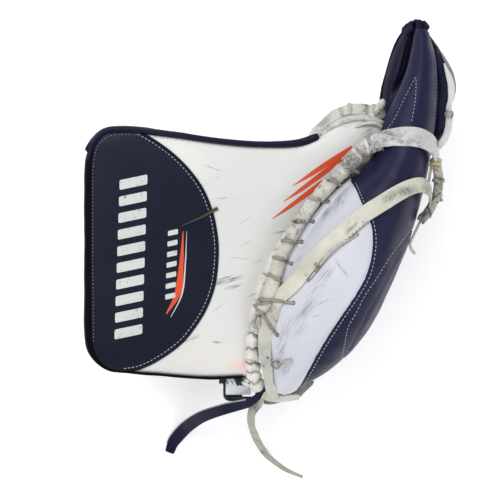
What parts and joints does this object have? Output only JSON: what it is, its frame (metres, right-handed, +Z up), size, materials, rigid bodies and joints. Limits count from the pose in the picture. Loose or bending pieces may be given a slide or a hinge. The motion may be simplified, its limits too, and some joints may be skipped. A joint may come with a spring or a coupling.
{
  "type": "ice hockey goalie catch glove",
  "caption": "Closed ice hockey goalie catch glove: padded cuff and thumb board, finger shell folded over it, laced rolled edges, pocket straps and loose leather tails.",
  "frame": {"origin": "on the surface the glove lies on, under the centre of its bounding box without the two loose tails", "axes": "+X from the outer end of the cuff to the knuckles, +Y from the heel of the hand to the thumb, +Z up, away from the backhand"},
  "size_m": [0.3306, 0.4325, 0.1489],
  "materials": {
    "white_leather": "satin smooth, scuffed",
    "navy_leather": "satin smooth, fine grain",
    "lace_leather": "worn, matt, dirty",
    "grey_suede": "suede, matt",
    "foam": "closed-cell foam, matt",
    "stiff_plastic": "matt sheet",
    "black_textile": "woven, matt",
    "black_plastic": "moulded, satin",
    "webbing": "woven nylon webbing"
  },
  "bodies": {
    "thumb_side": {"cuff_cover": "white_leather", "cuff_foam": "foam", "cuff_stiffener": "stiff_plastic", "cuff_lining": "grey_suede", "cuff_end_panel": "navy_leather", "cuff_edge_wall": "navy_leather", "thumb_rolled_edge": "lace_leather", "thumb_edge_lace": "lace_leather", "pocket_top_flap": "navy_leather", "pocket_top_fold": "navy_leather", "pocket_web_strap": "lace_leather", "pocket_web_lace": "lace_leather", "palm_leather": "lace_leather", "palm_pad": "foam", "backhand_cover": "navy_leather", "backhand_pad": "foam", "cuff_side_wall": "navy_leather", "thumb_stall": "black_textile", "wrist_guard_hinge": "grey_suede", "heel_webbing_tab": "webbing", "heel_gusset": "grey_suede", "heel_strap_end": "lace_leather", "tail_navy": "navy_leather", "tail_pale": "lace_leather"},
    "finger_side": {"finger_shell_white": "white_leather", "finger_shell_navy": "navy_leather", "finger_shell_foam": "foam", "finger_shell_liner": "grey_suede", "finger_sleeve": "black_textile", "finger_rolled_edge": "lace_leather", "finger_edge_lace": "lace_leather", "pocket_strap_long": "lace_leather", "pocket_strap_short": "lace_leather"},
    "wrist_guard": {"wrist_guard_cover": "navy_leather", "wrist_guard_pad": "foam"},
    "wrist_strap": {"wrist_strap": "black_textile"},
    "strap_ring": {"strap_ring": "black_plastic"}
  },
  "joints": [
    {"name": "glove_closure", "type": "hinge", "parent": "thumb_side", "child": "finger_side", "pos_m": [0.15165, 0.15472, 0.07], "axis": [0.2316, 0.9728, 0], "range_deg": [0, 40], "deforming": ["palm_leather", "pocket_top_fold", "pocket_web_strap", "pocket_web_lace"]},
    {"name": "wrist_guard_hinge", "type": "hinge", "parent": "thumb_side", "child": "wrist_guard", "pos_m": [-0.03935, -0.02528, 0.008], "axis": [0, 1, 0], "range_deg": [-35, 10], "deforming": ["wrist_guard_hinge"]},
    {"name": "wrist_strap_peel", "type": "hinge", "parent": "thumb_side", "child": "wrist_strap", "pos_m": [-0.11035, -0.11678, 0.064], "axis": [-1, 0, 0], "range_deg": [0, 75]},
    {"name": "strap_ring_swing", "type": "hinge", "parent": "thumb_side", "child": "strap_ring", "pos_m": [-0.02035, -0.15348, 0.065], "axis": [1, 0, 0], "range_deg": [-35, 35]}
  ]
}
